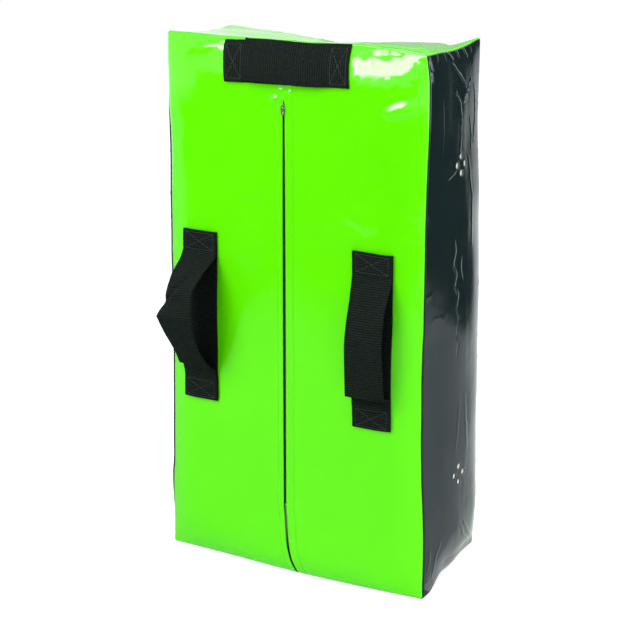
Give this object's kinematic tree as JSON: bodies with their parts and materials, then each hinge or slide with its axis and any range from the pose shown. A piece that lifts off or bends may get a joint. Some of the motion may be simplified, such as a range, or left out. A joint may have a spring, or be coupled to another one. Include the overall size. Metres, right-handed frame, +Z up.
{
  "type": "tackle wedge",
  "caption": "Free-standing foam tackle block in a coated fabric cover, with a long zip down one face, webbing grips beside and above it, and vented side panels.",
  "frame": {"origin": "on the floor, under the middle of the block's seams", "axes": "+Z up; -Y out of the face with the zip and grips, +Y out of the strike face; +X to the right as the zip face is seen"},
  "size_m": [0.3666, 0.2348, 0.6535],
  "materials": {
    "green_cover": "satin",
    "black_cover": "satin",
    "webbing": "matte",
    "thread": "matte",
    "firm_foam": "matte",
    "soft_foam": "matte",
    "zip_tape": "matte",
    "zip_teeth": "satin",
    "zip_metal": "satin"
  },
  "bodies": {
    "block": {"zip_face_panel": "green_cover", "strike_face_panel": "green_cover", "top_panel": "green_cover", "base_panel": "black_cover", "side_panel_left": "black_cover", "side_panel_right": "black_cover", "foam_block": "firm_foam", "foam_strike_layer": "soft_foam", "left_grip_base": "webbing", "left_grip_loop": "webbing", "left_grip_stitch_first": "thread", "left_grip_stitch_second": "thread", "right_grip_base": "webbing", "right_grip_loop": "webbing", "right_grip_stitch_first": "thread", "right_grip_stitch_second": "thread", "top_grip_base": "webbing", "top_grip_loop": "webbing", "top_grip_stitch_first": "thread", "top_grip_stitch_second": "thread", "zip_tape_left": "zip_tape", "zip_tape_right": "zip_tape", "zip_teeth_left": "zip_teeth", "zip_teeth_right": "zip_teeth", "zip_top_stop_left": "zip_metal", "zip_top_stop_right": "zip_metal", "zip_bottom_stop": "zip_metal"},
    "slider": {"zip_slider": "zip_metal"},
    "pull": {"zip_pull": "zip_metal"}
  },
  "joints": [
    {"name": "zip_slide", "type": "slide", "parent": "block", "child": "slider", "axis": [0, 0, -1], "range_m": [0, 0.48]},
    {"name": "pull_hinge", "type": "hinge", "parent": "slider", "child": "pull", "pos_m": [0, -0.089, 0.57972], "axis": [-1, 0, 0], "range_deg": [0, 160]}
  ]
}
